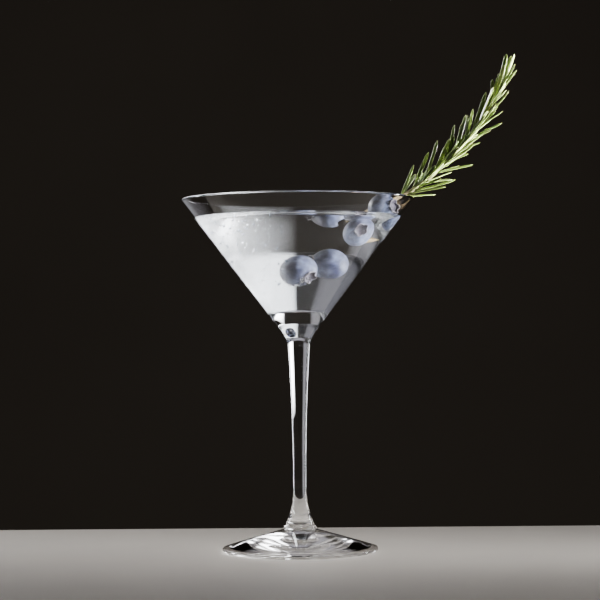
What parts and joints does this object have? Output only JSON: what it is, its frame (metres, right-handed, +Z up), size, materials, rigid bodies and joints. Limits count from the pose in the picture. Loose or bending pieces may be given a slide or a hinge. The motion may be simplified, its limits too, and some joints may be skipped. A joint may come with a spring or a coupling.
{
  "type": "martini cocktail",
  "caption": "Clear cocktail in a stemmed conical glass with a round foot, blueberries in the drink and a rosemary sprig laid over the rim.",
  "frame": {"origin": "centre of the flat ring that the foot stands on", "axes": "+Z up the stem; +X towards the side where the sprig leans out"},
  "size_m": [0.1709, 0.115, 0.2506],
  "materials": {
    "clear_glass": "polished clear soda glass",
    "clear_drink": "clear colourless spirit, still",
    "berry_skin": "blue-black skin under a pale waxy bloom",
    "rosemary_leaf": "green needles, pale and matt below"
  },
  "bodies": {
    "root": {"glass": "clear_glass", "drink": "clear_drink", "blueberry_high": "berry_skin", "blueberry_low": "berry_skin", "rosemary_sprig": "rosemary_leaf"}
  },
  "joints": []
}
